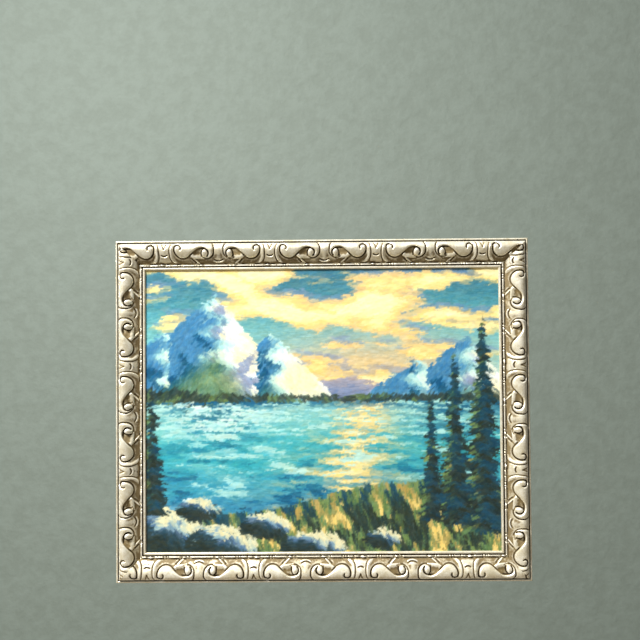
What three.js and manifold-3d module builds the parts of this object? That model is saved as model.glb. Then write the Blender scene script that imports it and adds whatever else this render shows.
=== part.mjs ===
// A framed oil painting, made to hang on a wall: a stretched canvas in a mitred frame of
// running-scroll moulding.
//
// Millimetres, +Z up. The picture faces -Y and the wall is the plane y = 0. The origin is the
// middle of the back face of the hanging plate, which sits on the top rail.
//
// A length of moulding is drawn as the top rail lies: s runs along it from its left outer corner,
// t runs inward from its outer edge, and d is the depth out from its back face. The other three
// rails are the same drawing turned about the line of sight.

import * as THREE from 'three';
import { mergeVertices } from 'three/addons/utils/BufferGeometryUtils.js';
import Module from 'manifold-3d';

const wasm = await Module();
wasm.setup();

// ---- Driving dimensions ----

const CANVAS_WIDTH = 508;
const CANVAS_HEIGHT = 406.4;
const RAIL_WIDTH = 41.5;
const REBATE_WIDTH = 6;
const REBATE_DEPTH = 16.3;
const CANVAS_PLAY = 1;
const GAP = 0.3;

const FRAME_WIDTH = CANVAS_WIDTH + 2 * (CANVAS_PLAY - REBATE_WIDTH + RAIL_WIDTH);
const FRAME_HEIGHT = CANVAS_HEIGHT + 2 * (CANVAS_PLAY - REBATE_WIDTH + RAIL_WIDTH);

// The hanging plate stands this far off the wall and keeps its gap to the rail.
const HANGING_PLATE = {
  length: 64, height: 13, thickness: 1.2, fromEdge: 8, teeth: 10, tooth: 2.6, toothed: 44,
};
const BACK_Y = -(HANGING_PLATE.thickness + GAP);
const FRAME_CENTRE_Z = HANGING_PLATE.fromEdge + HANGING_PLATE.height / 2 - FRAME_HEIGHT / 2;

const CANVAS_CLOTH = 1.2;
const CANVAS_TURNOVER = 20;
const STRETCHER_WIDTH = 38;
const RETAINING_PLATE = { length: 30, width: 13, thickness: 0.9, onRail: 12 };

// ---- The moulding's section: t inward, d out from the back ----

const RIM_DEPTH = 20;
const QUIRK = { t: 3.7, d: 18.2 };
const CREST = { t: 13, d: 28 };
const CUSHION_END = { t: 33, d: 18.6 };
const BEAD_ROW = { from: 34.2, to: 36.3, d: 19 };
const LIP = { from: 38.2, to: 40.7, d: 18.7 };

// How far each level of the carving lies under the scrolls, and the depths between which an
// outline is stood up before it is trimmed to the cushion.
const GROUND_DROP = 2.3;
const LEAF_DROP = 0.9;
const CARVING = { from: REBATE_DEPTH - 1, to: 30 };

// The cushion rises steeply from the quirk and falls in a long slope to the sight edge.
const CUSHION_FACETS = [5.2, CREST.t, 21.5];
const SLOPE_POWER = 1.6;

function cushionDepth(t) {
  if (t < CREST.t) {
    const away = (CREST.t - t) / (CREST.t - QUIRK.t);
    return QUIRK.d + (CREST.d - QUIRK.d) * Math.sqrt(1 - away * away);
  }
  const away = (t - CREST.t) / (CUSHION_END.t - CREST.t);
  return CREST.d - (CREST.d - CUSHION_END.d) * away ** SLOPE_POWER;
}

function cushion(drop) {
  return CUSHION_FACETS.map((t) => [t, cushionDepth(t) - drop]);
}

function railSection() {
  return [
    [0, 0], [0, RIM_DEPTH - 0.8], [0.8, RIM_DEPTH], [2.3, RIM_DEPTH],
    [3.0, QUIRK.d], [QUIRK.t, QUIRK.d],
    ...cushion(GROUND_DROP),
    [CUSHION_END.t, CUSHION_END.d - 1],
    [BEAD_ROW.from, BEAD_ROW.d], [BEAD_ROW.to, BEAD_ROW.d], [BEAD_ROW.to + 0.8, BEAD_ROW.d - 2],
    [LIP.from, LIP.d], [LIP.to, LIP.d], [RAIL_WIDTH, LIP.d - 1.4],
    [RAIL_WIDTH, REBATE_DEPTH],
    [RAIL_WIDTH - REBATE_WIDTH, REBATE_DEPTH], [RAIL_WIDTH - REBATE_WIDTH, 0],
  ];
}

function raisedSection(drop) {
  return [
    [QUIRK.t, REBATE_DEPTH], [QUIRK.t, QUIRK.d],
    ...cushion(drop),
    [CUSHION_END.t, CUSHION_END.d - drop], [CUSHION_END.t, REBATE_DEPTH],
  ];
}

// ---- The running scroll ----
//
// The pattern repeats about a leaf (s = 0): a scroll on each side of it, then a plain ring where
// two scrolls meet back to back. The ring lies nearer to the leaf on its left.

const REPEAT = 149.5;
const RING_LINE = { right: 70.4, left: 66.5 };
const RING_HALF_WIDTH = (REPEAT - RING_LINE.right - RING_LINE.left) / 2;

// The arcs are drawn with a corner every so many degrees.
const ARC_STEP = 45;

// One chain of arcs draws the groove of a scroll, from the curl of its hook, under its belly and
// up its slope to the eye.
const SCROLL_START = { s: 22.5, t: 14, heading: -57 };
const HOOK = { turn: -1, radius: 4.4, sweep: 200 };
const BELLY = { turn: -1, radius: 12.2, sweep: 144 };
const SLOPE = { length: 14 };
const SHOULDER = { turn: 1, radius: 11.5, sweep: 89 };
const EYE = { turn: 1, radius: 5.4, sweep: 96 };
const EYE_BALL = { s: 57, t: 17.2, radius: 4.2, d: 27.4, height: 3.4, top: 0.55, sides: 5 };
const HOOK_GROOVE = { width: 1.6, d: 24.4, step: 50 };

// Follows straight runs and arcs from a start, and gives the points that they pass.
function chain(start, moves, stepDegrees) {
  let { s, t } = start;
  let heading = THREE.MathUtils.degToRad(start.heading);
  const points = [[s, t]];
  for (const move of moves) {
    if (move.length) {
      s += move.length * Math.cos(heading);
      t += move.length * Math.sin(heading);
      points.push([s, t]);
      continue;
    }
    const steps = Math.ceil(move.sweep / stepDegrees);
    const centre = [
      s - move.turn * move.radius * Math.sin(heading),
      t + move.turn * move.radius * Math.cos(heading),
    ];
    const from = heading;
    for (let step = 1; step <= steps; step += 1) {
      heading = from + move.turn * THREE.MathUtils.degToRad(move.sweep) * (step / steps);
      s = centre[0] + move.turn * move.radius * Math.sin(heading);
      t = centre[1] - move.turn * move.radius * Math.cos(heading);
      points.push([s, t]);
    }
  }
  return points;
}

// A band of constant width about a line of points, pointed at its far end.
function band(points, width) {
  const sides = [[], []];
  points.forEach(([s, t], i) => {
    const [s0, t0] = points[Math.max(0, i - 1)];
    const [s1, t1] = points[Math.min(points.length - 1, i + 1)];
    const length = Math.hypot(s1 - s0, t1 - t0);
    const half = (width / 2) * Math.min(1, 0.2 + (points.length - 1 - i) / 2);
    sides[0].push([s - (half * (t1 - t0)) / length, t + (half * (s1 - s0)) / length]);
    sides[1].unshift([s + (half * (t1 - t0)) / length, t - (half * (s1 - s0)) / length]);
  });
  return [...sides[0], ...sides[1]];
}

function hookGroove() {
  return band(chain(SCROLL_START, [HOOK], HOOK_GROOVE.step).reverse(), HOOK_GROOVE.width);
}

// The scroll itself: the tongue that hangs from the outer edge, and the band that runs on from it
// round the eye.
function scrollOutline(ringLine) {
  const groove = chain(SCROLL_START, [HOOK, BELLY, SLOPE, SHOULDER, EYE], ARC_STEP);
  const hookSteps = Math.ceil(HOOK.sweep / ARC_STEP);
  const eyeEnd = groove[groove.length - 1];
  const under = chain(
    { s: ringLine - 0.6, t: 15, heading: 90 },
    [{ turn: 1, radius: 10.5, sweep: 100 }],
    ARC_STEP,
  );
  return [
    [13.9, QUIRK.t], [ringLine - 4.5, QUIRK.t], [ringLine - 1.6, 8],
    ...under, [eyeEnd[0] - 6.5, eyeEnd[1] + 2],
    ...groove.slice(hookSteps).reverse(),
  ];
}

// The crescent leaf that hugs the hook, pointed at both ends.
function crescentLeaf() {
  const outside = chain({ s: 10.4, t: 6.5, heading: 106 },
    [{ turn: -1, radius: 36, sweep: 20 }, { turn: -1, radius: 15.5, sweep: 78 }], 40);
  return [...outside, [15.2, 26.4], [12.2, 17]];
}

// The bud between the belly and the eye, its tip to the leaf.
const BUD = [[37.6, 22.4], [44, 25.7], [53.4, 26], [52.4, 20.4], [43.5, 18.6]];

// The small leaf that leans from the bud to the beads.
const LEANING_LEAF = [[40.6, 26.6], [43, 25.8], [51.6, 33], [49.2, 33]];

// The block between two crescent leaves, with a notch and a cut like a smile.
const LEAF_BLOCK = [[-8.4, QUIRK.t], [8.4, QUIRK.t], [5.5, 29], [-5.5, 29]];
const NOTCH = { outline: [[-3.3, 5.6], [3.3, 5.6], [0, 13.6]], d: 24.6 };
const SMILE = { outline: [[-4.6, 20.8], [4.6, 20.8], [0, 24.4]], d: 22.6 };

// The plain ring between two scrolls, with a crescent under it.
const RING = [[-0.9, QUIRK.t], [0.9, QUIRK.t], [0.66, 26], [-0.66, 26]]
  .map(([across, t]) => [across * RING_HALF_WIDTH, t]);
const RING_CRESCENT = [[-6.4, 27], [0, 28.9], [6.4, 27], [0, 31.4]];

// ---- Solids ----

// A closed solid from a three.js geometry.
function solid(geometry) {
  const bare = geometry.clone();
  bare.deleteAttribute('normal');
  bare.deleteAttribute('uv');
  const merged = mergeVertices(bare, 1e-4);
  return new wasm.Manifold(new wasm.Mesh({
    numProp: 3,
    vertProperties: new Float32Array(merged.attributes.position.array),
    triVerts: new Uint32Array(merged.index.array),
  }));
}

function outlineShape(points) {
  return new THREE.Shape(points.map(([a, b]) => new THREE.Vector2(a, b)));
}

// A section of (t, d) points run along a rail of the given length.
function runAlong(section, length) {
  const shape = outlineShape(section.map(([t, d]) => [d, -t]));
  const geometry = new THREE.ExtrudeGeometry(shape, { depth: length, bevelEnabled: false });
  const lie = new THREE.Matrix4().makeBasis(
    new THREE.Vector3(0, -1, 0), new THREE.Vector3(0, 0, 1), new THREE.Vector3(-1, 0, 0));
  geometry.applyMatrix4(lie);
  return solid(geometry.translate(length, 0, 0));
}

// An outline of (s, t) points, stood up between two depths.
function standUp(points, from = CARVING.from, to = CARVING.to) {
  const shape = outlineShape(points.map(([s, t]) => [s, -t]));
  const geometry = new THREE.ExtrudeGeometry(shape, { depth: to - from, bevelEnabled: false });
  return solid(geometry.rotateX(Math.PI / 2).translate(0, -from, 0));
}

function joined(solids) {
  return solids.reduce((all, one) => all.add(one));
}

// The ball in the eye of a scroll, as a low boss.
function eyeBoss(s) {
  const { t, radius, d, height, top, sides } = EYE_BALL;
  const boss = new THREE.CylinderGeometry(top * radius, radius, height, sides);
  return solid(boss.rotateX(Math.PI).translate(s, height / 2 - d, -t));
}

function scrollParts(at, side, scale) {
  const ringLine = side > 0 ? RING_LINE.right : RING_LINE.left;
  const place = (points) => points.map(([s, t]) => [at + side * scale * s, t]);
  return {
    high: [standUp(place(scrollOutline(ringLine)))],
    low: [crescentLeaf(), BUD, LEANING_LEAF].map((points) => standUp(place(points))),
    boss: [eyeBoss(at + side * scale * EYE_BALL.s)],
    cut: [standUp(place(hookGroove()), HOOK_GROOVE.d)],
  };
}

function leafAndRing(at, scale) {
  const place = (points, centre) => points.map(([s, t]) => [centre + scale * s, t]);
  const ringAt = at + scale * (RING_LINE.right + RING_HALF_WIDTH);
  return {
    high: [],
    low: [
      standUp(place(LEAF_BLOCK, at)),
      standUp(place(RING, ringAt)),
      standUp(place(RING_CRESCENT, ringAt)),
    ],
    boss: [],
    cut: [NOTCH, SMILE].map(({ outline, d }) => standUp(place(outline, at), d)),
  };
}

// The outline of a length that is left between its two mitres, with a little over along the edges.
function mitreOutline(length) {
  const over = 1;
  const gap = GAP / Math.SQRT2;
  return [
    [gap - over, -over],
    [length - gap + over, -over],
    [length - gap - RAIL_WIDTH - over, RAIL_WIDTH + over],
    [gap + RAIL_WIDTH + over, RAIL_WIDTH + over],
  ];
}

// One length of moulding, from outer corner to outer corner.
function moulding(length, firstLeaf, repeat) {
  const scale = repeat / REPEAT;
  const parts = { high: [], low: [], boss: [], cut: [] };
  for (let at = firstLeaf - repeat; at < length + repeat; at += repeat) {
    for (const carved of [scrollParts(at, -1, scale), scrollParts(at, 1, scale), leafAndRing(at, scale)]) {
      Object.keys(parts).forEach((level) => parts[level].push(...carved[level]));
    }
  }
  const high = runAlong(raisedSection(0), length).intersect(joined(parts.high));
  const low = runAlong(raisedSection(LEAF_DROP), length).intersect(joined(parts.low));
  return runAlong(railSection(), length)
    .add(high)
    .add(low)
    .add(joined(parts.boss))
    .subtract(joined(parts.cut))
    .intersect(standUp(mitreOutline(length), -1, CREST.d + 1));
}

// ---- Pieces as meshes ----

const silverLeaf = new THREE.MeshStandardMaterial({ color: 0xc4b896, roughness: 0.42, metalness: 0.6 });
const oilPaint = new THREE.MeshStandardMaterial({ color: 0x57a0a8, roughness: 0.45, metalness: 0 });
const pine = new THREE.MeshStandardMaterial({ color: 0xc9a878, roughness: 0.8, metalness: 0 });
const zincSteel = new THREE.MeshStandardMaterial({ color: 0xa9a698, roughness: 0.4, metalness: 0.9 });

function mesh(name, body, material) {
  const raw = body.getMesh();
  const geometry = new THREE.BufferGeometry();
  geometry.setAttribute('position', new THREE.BufferAttribute(new Float32Array(raw.vertProperties), 3));
  geometry.setIndex(new THREE.BufferAttribute(new Uint32Array(raw.triVerts), 1));
  geometry.computeVertexNormals();
  const made = new THREE.Mesh(geometry, material);
  made.name = name;
  return made;
}

// Turns a mesh drawn as the top side of the frame to its own side, a quarter turn for each step.
function onSide(made, quarterTurns, halfLength, halfAcross) {
  const turned = new THREE.Group();
  made.position.set(-halfLength, 0, halfAcross);
  turned.add(made);
  turned.rotation.y = (quarterTurns * Math.PI) / 2;
  return turned;
}

// Where the pattern starts on each rail, and its repeat, which is a little closer on the uprights.
const RAILS = [
  { side: 'top', length: FRAME_WIDTH, across: FRAME_HEIGHT, firstLeaf: 69.4, repeat: 148.8 },
  { side: 'right', length: FRAME_HEIGHT, across: FRAME_WIDTH, firstLeaf: 32, repeat: 146 },
  { side: 'bottom', length: FRAME_WIDTH, across: FRAME_HEIGHT, firstLeaf: 90, repeat: 148.8 },
  { side: 'left', length: FRAME_HEIGHT, across: FRAME_WIDTH, firstLeaf: 10.2, repeat: 146 },
];

const painting = new THREE.Group();
const frame = new THREE.Group();
frame.position.set(0, BACK_Y, FRAME_CENTRE_Z);
painting.add(frame);

RAILS.forEach(({ side, length, across, firstLeaf, repeat }, quarterTurns) => {
  const rail = mesh(`frame_${side}`, moulding(length, firstLeaf, repeat), silverLeaf);
  frame.add(onSide(rail, quarterTurns, length / 2, across / 2));
});

// The canvas: a painted sheet, turned down over the edges of the stretcher and on to its back.
function boxBetween(low, high) {
  const size = high.map((value, i) => value - low[i]);
  const geometry = new THREE.BoxGeometry(...size);
  return solid(geometry.translate(...low.map((value, i) => value + size[i] / 2)));
}

const CANVAS_FRONT = REBATE_DEPTH - GAP;
const CANVAS_BACK = GAP;
const STRETCHER_FRONT = CANVAS_FRONT - CANVAS_CLOTH - GAP;
const STRETCHER_BACK = CANVAS_BACK + CANVAS_CLOTH + GAP;

function slab(width, height, backDepth, frontDepth) {
  return boxBetween([-width / 2, -frontDepth, -height / 2], [width / 2, -backDepth, height / 2]);
}

const insideWidth = CANVAS_WIDTH - 2 * CANVAS_CLOTH;
const insideHeight = CANVAS_HEIGHT - 2 * CANVAS_CLOTH;
const canvas = slab(CANVAS_WIDTH, CANVAS_HEIGHT, CANVAS_BACK, CANVAS_FRONT)
  .subtract(slab(insideWidth, insideHeight, CANVAS_BACK + CANVAS_CLOTH, CANVAS_FRONT - CANVAS_CLOTH))
  .subtract(slab(insideWidth - 2 * CANVAS_TURNOVER, insideHeight - 2 * CANVAS_TURNOVER, -1, 8));
frame.add(mesh('canvas', canvas, oilPaint));

// The stretcher: four bars with mitred ends, inside the canvas.
const stretcherWidth = insideWidth - 2 * GAP;
const stretcherHeight = insideHeight - 2 * GAP;

function stretcherBar(length) {
  const shift = GAP / Math.SQRT2;
  return standUp(
    [[shift, 0], [length - shift, 0], [length - shift - STRETCHER_WIDTH, STRETCHER_WIDTH],
      [shift + STRETCHER_WIDTH, STRETCHER_WIDTH]],
    STRETCHER_BACK,
    STRETCHER_FRONT,
  );
}

RAILS.forEach(({ side }, quarterTurns) => {
  const [length, across] = quarterTurns % 2
    ? [stretcherHeight, stretcherWidth]
    : [stretcherWidth, stretcherHeight];
  const bar = mesh(`stretcher_${side}`, stretcherBar(length), pine);
  frame.add(onSide(bar, quarterTurns, length / 2, across / 2));
});

// The retaining plates: one in the middle of each side, screwed to the rail and lying over the
// back of the stretcher.
RAILS.forEach(({ side, length, across }, quarterTurns) => {
  const { length: reach, width, thickness, onRail } = RETAINING_PLATE;
  const from = RAIL_WIDTH - REBATE_WIDTH - onRail;
  const middle = length / 2;
  const outline = [
    [middle - width / 2, from], [middle + width / 2, from],
    [middle + width / 2, from + reach], [middle - width / 2, from + reach],
  ];
  const plate = mesh(`retaining_plate_${side}`, standUp(outline, -(GAP + thickness), -GAP), zincSteel);
  frame.add(onSide(plate, quarterTurns, length / 2, across / 2));
});

// The hanging plate: a strip with a row of teeth along its lower edge, for a nail to sit in.
function hangingPlate() {
  const { length, height, thickness, teeth, tooth, toothed } = HANGING_PLATE;
  const pitch = toothed / teeth;
  const edge = [];
  for (let i = 0; i < teeth; i += 1) {
    const s = toothed / 2 - i * pitch;
    edge.push([s, height / 2], [s - pitch / 2, height / 2 - tooth]);
  }
  const outline = [
    [-length / 2, -height / 2], [length / 2, -height / 2], [length / 2, height / 2],
    ...edge,
    [-toothed / 2, height / 2], [-length / 2, height / 2],
  ];
  return standUp(outline, 0, thickness);
}

painting.add(mesh('hanging_plate', hangingPlate(), zincSteel));

export default painting;
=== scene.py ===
import math

import bmesh
import bpy
import numpy as np
from mathutils import Matrix, Vector


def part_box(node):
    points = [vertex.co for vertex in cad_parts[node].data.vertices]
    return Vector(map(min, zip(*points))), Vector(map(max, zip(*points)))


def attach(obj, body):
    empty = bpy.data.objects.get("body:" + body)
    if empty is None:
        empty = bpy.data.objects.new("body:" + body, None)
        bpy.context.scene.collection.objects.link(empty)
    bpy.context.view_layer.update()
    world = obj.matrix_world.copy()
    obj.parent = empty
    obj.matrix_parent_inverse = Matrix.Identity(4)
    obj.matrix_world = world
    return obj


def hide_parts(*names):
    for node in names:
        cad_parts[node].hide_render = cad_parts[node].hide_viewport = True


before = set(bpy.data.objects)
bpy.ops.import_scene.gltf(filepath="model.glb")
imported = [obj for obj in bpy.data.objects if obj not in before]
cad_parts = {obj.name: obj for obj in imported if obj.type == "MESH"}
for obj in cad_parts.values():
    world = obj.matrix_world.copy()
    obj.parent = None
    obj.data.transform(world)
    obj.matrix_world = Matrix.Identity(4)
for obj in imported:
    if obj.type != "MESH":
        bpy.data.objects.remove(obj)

MM = 0.001
scene = bpy.context.scene
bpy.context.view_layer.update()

# ---- Camera -------------------------------------------------------------------------------
# The frame is looked at from just above its middle, a metre off, with the lens level.

rail_top_low, rail_top_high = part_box("frame_top")
rail_left_low, rail_left_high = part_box("frame_left")
FRAME_WIDTH = (rail_top_high.x - rail_top_low.x) / MM
FRAME_HEIGHT = (rail_left_high.z - rail_left_low.z) / MM
FRAME_BACK = rail_top_high.y / MM
FRAME_MIDDLE = Vector((0, 0, (rail_left_high.z + rail_left_low.z) / 2))

eye = bpy.data.cameras.new("viewer")
eye.lens = 39.375
eye.sensor_width = 36
eye.clip_start = 0.01
viewer = bpy.data.objects.new("viewer", eye)
viewer.rotation_euler = (math.radians(91.19), math.radians(0.44), math.radians(0.44))
viewer.location = FRAME_MIDDLE + Vector((0.0048, -1.0049, 0.1058))
scene.collection.objects.link(viewer)
scene.camera = viewer
scene.view_settings.view_transform = "Standard"

# ---- The four rails of the frame ----------------------------------------------------------
# Lengths of moulding in wood and pressed composition, finished in champagne silver leaf under
# a brown antique wash that is deepened with painted shade in the hollows, with near-black painted
# shade in the cut lines, and brighter raised parts that are partly rubbed and partly a painted
# highlight. The running scroll is pressed from one mould, a repeat at a time, and the rails are
# cut to 45 degrees and joined at the corners.

RAIL_WIDTH = 41.5
REPEAT = 149.5
MOULD_CELL = 0.25
QUIRK_T, CREST_T, CREST_D, BED_T = 3.7, 13.0, 28.0, 33.0
GROUND = -2.3
RING_LINES = {"right": 70.4, "left": 66.5}
REBATE = (35.5, 16.3)
MITRE_GAP = 0.04
STEP_ALONG = 0.68
# Each rail's length, where its first leaf lies, and the length that a repeat is drawn out to.
RAILS = {
    "frame_top": (FRAME_WIDTH, FRAME_HEIGHT, 69.4, 148.8),
    "frame_right": (FRAME_HEIGHT, FRAME_WIDTH, 32.0, 146.0),
    "frame_bottom": (FRAME_WIDTH, FRAME_HEIGHT, 90.0, 148.8),
    "frame_left": (FRAME_HEIGHT, FRAME_WIDTH, 10.2, 146.0),
}


def ease(low, high, value):
    """0 before low, 1 past high, and a smooth way between."""
    part = np.clip((value - low) / (high - low), 0, 1)
    return part * part * (3 - 2 * part)


def cushion(t):
    """The depth of the plain cushion under the carving, across the rail."""
    rise = np.clip((CREST_T - t) / (CREST_T - QUIRK_T), 0, 1)
    fall = np.clip((t - CREST_T) / (BED_T - CREST_T), 0, 1)
    outer = 18.2 + (CREST_D - 18.2) * np.sqrt(1 - rise * rise)
    return np.where(t < CREST_T, outer, CREST_D - 9.4 * fall**1.6)


def sweep(start, moves, degrees=6.0):
    """Points along straight runs (0, length, 0) and arcs (turn, radius, sweep) from a start."""
    s, t, heading = start[0], start[1], math.radians(start[2])
    points = [(s, t)]
    for turn, size, angle in moves:
        if turn == 0:
            s, t = s + size * math.cos(heading), t + size * math.sin(heading)
            points.append((s, t))
            continue
        mid_s = s - turn * size * math.sin(heading)
        mid_t = t + turn * size * math.cos(heading)
        steps = math.ceil(angle / degrees)
        for k in range(1, steps + 1):
            a = heading + turn * math.radians(angle) * k / steps
            points.append((mid_s + turn * size * math.sin(a), mid_t - turn * size * math.cos(a)))
        s, t = points[-1]
        heading += turn * math.radians(angle)
    return np.array(points)


def drawn(points, steps=8):
    """A smooth line through a few points."""
    p = np.asarray(points, float)
    p = np.vstack([2 * p[0] - p[1], p, 2 * p[-1] - p[-2]])
    k = (np.arange(steps) / steps)[:, None]
    spans = []
    for a, b, c, d in zip(p[:-3], p[1:-2], p[2:-1], p[3:]):
        cubic = 3 * b + d - a - 3 * c
        spans.append(0.5 * (2 * b + (c - a) * k + (2 * a - 5 * b + 4 * c - d) * k**2 + cubic * k**3))
    return np.vstack([*spans, p[-2:-1]])


def to_line(s, t, line):
    """Each place's distance to a line, how far along it that is, and on which side."""
    gap = np.full(s.shape, 1e9)
    along, side, run = np.zeros(s.shape), np.ones(s.shape), 0.0
    for (a, b), (c, d) in zip(line[:-1], line[1:]):
        ds, dt = c - a, d - b
        length = math.hypot(ds, dt)
        if length == 0:
            continue
        k = np.clip(((s - a) * ds + (t - b) * dt) / length**2, 0, 1)
        away = np.hypot(s - a - k * ds, t - b - k * dt)
        near = away < gap
        gap = np.where(near, away, gap)
        along = np.where(near, run + k * length, along)
        side = np.where(near, np.sign(ds * (t - b) - dt * (s - a)), side)
        run += length
    return gap, along, side


def depth_in(s, t, outline):
    """How far each place lies inside an outline, and below nought outside it."""
    outline = np.asarray(outline, float)
    ends = np.roll(outline, -1, axis=0)
    within = np.zeros(s.shape, bool)
    for (a, b), (c, d) in zip(outline, ends):
        if b != d:
            within ^= ((b > t) != (d > t)) & (s < (c - a) * (t - b) / (d - b) + a)
    gap = to_line(s, t, np.vstack([outline, outline[:1]]))[0]
    return np.where(within, gap, -gap)


def ditch(gap, width, deep):
    return deep * np.exp(-((gap / width) ** 2))


SCROLL_START = (22.5, 14.0, -57.0)
SCROLL_MOVES = [(-1, 4.4, 200), (-1, 12.2, 144), (0, 14, 0), (1, 11.5, 89), (1, 5.4, 96)]


def carved_scroll(x, t, ring):
    """The carving's height against the cushion, x millimetres to one side of a leaf."""
    scroll = sweep(SCROLL_START, SCROLL_MOVES)
    gap, along, _ = to_line(x, t, scroll)
    hook_top = int(np.argmin(scroll[:40, 1]))
    lift = np.full(x.shape, GROUND)
    for mid_s, mid_t, wide, high, deep in ((32, 31.2, 9, 2.4, 1.2), (60.5, 31.6, 6, 1.8, 0.9)):
        place = ((x - mid_s) / wide) ** 2 + ((t - mid_t) / high) ** 2
        lift -= deep * np.exp(-(place**1.5))

    # The leaf's block, with its notch and the cut like a smile.
    rim = drawn([(11.2, 3.2), (9.0, 8), (7.7, 14), (7.5, 20), (8.7, 26), (11.8, 30.4), (17.5, 33.6)])
    from_rim, along_rim, side = to_line(x, t, rim)
    across = np.where(side < 0, from_rim, -from_rim)
    block = -1.1 - 0.35 * (x / 7.0) ** 2 - 0.9 * ease(27, 33, t)
    block -= ditch(to_line(x, t, [(3.1, 5.6), (0.1, 13.2)])[0], 0.75, 1.7)
    block -= 0.8 * ease(-0.2, 1.1, depth_in(x, t, [(-3.2, 5.6), (3.2, 5.6), (0.0, 13.4)]))
    block += 0.5 * np.exp(-(((t - 16) / 3.0) ** 2) - (x / 3.0) ** 2)
    smile = 21.0 + 1.5 * (1 - (x / 4.6) ** 2)
    ends = ease(5.2, 3.2, x)
    block += ends * (ditch(t - smile - 2.1, 0.9, 0.8) - ditch(t - smile, 0.9, 2.1))
    block = np.maximum(block - 1.2 * ease(-1.6, 0, across), GROUND - 0.4)
    lift = np.where((across < 0) & (x < 22), block, lift)

    # The crescent leaf: steep beside the block, and sloping down to the scroll's hook.
    leaf = np.interp(across, [0, 0.6, 1.5, 2.4, 5.5, 7.5], [-2.7, -1.2, -0.3, -0.5, -1.9, -2.3])
    taper = ease(1.0, 7.0, along_rim) * ease(0.0, 8.0, along_rim.max() - along_rim)
    leaf = -2.6 + (leaf + 2.6) * (0.3 + 0.7 * taper)
    lift = np.where((across >= 0) & (x < 24), np.maximum(leaf, lift), lift)

    # The small leaf that leans from the bud to the beads.
    lean = depth_in(x, t, drawn([(40.4, 25.4), (43.2, 25.8), (50.6, 32.2), (51.4, 34.2), (48.8, 33.0), (40.4, 25.4)]))
    lift = np.maximum(lift, GROUND - 0.1 + 1.5 * ease(-0.3, 1.0, lean))
    lift -= ditch(to_line(x, t, [(39.6, 26.6), (48.2, 34.4)])[0], 0.75, 1.2)

    # The plain ring, lower than the scrolls beside it, and the crescent cut at its foot.
    past = x - ring
    crescent = 26.6 + 1.9 * (1 - ((past - 6.3) / 6.6) ** 2)
    plain = -1.7 + 0.5 * ease(1.0, 6.0, past) - 0.5 * ease(13, 22, t)
    foot = ease(-0.4, 0.6, t - crescent)
    ringed = plain * (1 - foot) + (GROUND - 0.1) * foot
    sides = ease(-2.0, 0.6, past)
    ringed -= sides * (ditch(t - crescent, 0.8, 1.2) - ditch(t - crescent - 1.9, 0.85, 1.1))
    lift = np.where(past > -2.0, ringed * sides + lift * (1 - sides), lift)

    # The scoop under the scroll's shoulder, with a raised lower edge.
    edge = drawn([(36.6, 22.8), (40.2, 25.4), (45, 26.3), (51.0, 26.5), (56.5, 26.4)])
    body = np.vstack([edge, [(60, 22), (61, 16), (57, 9.5), (50, 9.8), (44, 14.5)]])
    in_body = depth_in(x, t, body)
    hollow = -0.6 - 3.0 * ease(1.0, 9.5, to_line(x, t, edge)[0]) - 0.7 * ease(45, 52, x)
    lift = np.maximum(lift, np.minimum(hollow, -2.6 + 2.6 * ease(-0.3, 1.4, in_body)) - 9 * (in_body < -0.3))
    lift = np.where(in_body > 0, np.maximum(hollow, -4.2) * ease(0, 1.2, in_body) + lift * (1 - ease(0, 1.2, in_body)), lift)

    # The scroll itself: a tongue from the outer edge that runs on as a band round the eye.
    under = sweep((ring - 0.6, 15, 90), [(1, 10.3, 108)])
    shoulder = drawn([(ring - 5.0, 2.9), (ring - 1.9, 6.5), (ring - 0.6, 11), (ring - 0.6, 15)])
    eye_end = scroll[-1]
    hook_start = scroll[hook_top]
    outline = np.vstack([
        [(hook_start[0], 2.9)], shoulder, under[1:],
        [(eye_end[0] - 5.5, eye_end[1] + 4.5), (eye_end[0] - 2.0, eye_end[1] + 1.0)],
        scroll[hook_top:][::-1],
    ])
    inner = depth_in(x, t, outline)
    round_off = np.interp(inner, [-0.5, 0, 0.5, 1.5, 3.2, 6.0], [-2.5, -1.9, -1.1, -0.55, -0.15, 0])
    lift = np.where(inner > 0, round_off, np.where(inner > -0.5, np.maximum(lift, round_off), lift))

    # The ball of the eye, undercut on its open side.
    from_ball = np.hypot((x - 57.3) / 4.2, (t - 18.7) / 5.7)
    ball = -2.3 + 2.9 * np.sqrt(np.clip(1 - from_ball**2, 0, 1))
    lift = np.where(from_ball < 1, np.maximum(ball, np.where(inner > 0, lift, -9)), lift)
    lift -= ditch(to_line(x, t, drawn([(52.3, 23.0), (52.7, 17.5), (54.4, 13.6)]))[0], 0.7, 1.2)

    # The cut lines: deep in the hook and at the eye, fine between; and the line by the ring.
    places = [0, 2, 15, 22, 34, 46, 60, 70, 78, 87]
    width = np.interp(along, places, [0.9, 1.25, 1.25, 1.05, 0.8, 0.7, 0.8, 0.95, 1.25, 0.95])
    lift -= ditch(gap, width, np.interp(along, places, [1.8, 3.0, 3.0, 2.2, 1.2, 0.9, 1.1, 1.8, 3.0, 2.2]))
    by_ring = np.vstack([shoulder, sweep((ring - 0.6, 15, 90), [(1, 10.3, 122)])[1:]])
    gap, along, _ = to_line(x, t, by_ring)
    width = np.interp(along, [0, 5, 18, 26, 36], [0.7, 0.95, 0.95, 0.8, 0.6])
    return lift - ditch(gap, width, np.interp(along, [0, 5, 18, 26, 36], [1.1, 2.0, 1.9, 1.4, 0.7]))


# The string of beads, from its place along the repeat: dashes, pearls, ticks and pointed knobs.
DASHES = ((2, 8.5), (10, 18), (26, 42), (57, 90), (103.5, 120), (128, 140))
PEARLS = (20.2, 23.8, 121.6, 125.4)
TICKS = (43.8, 93.5)
TIPS = ((51.5, 4.5), (98.5, 3.2))
KNOBS = (-4.0, 145.5)
BEAD_T = 35.2


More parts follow.
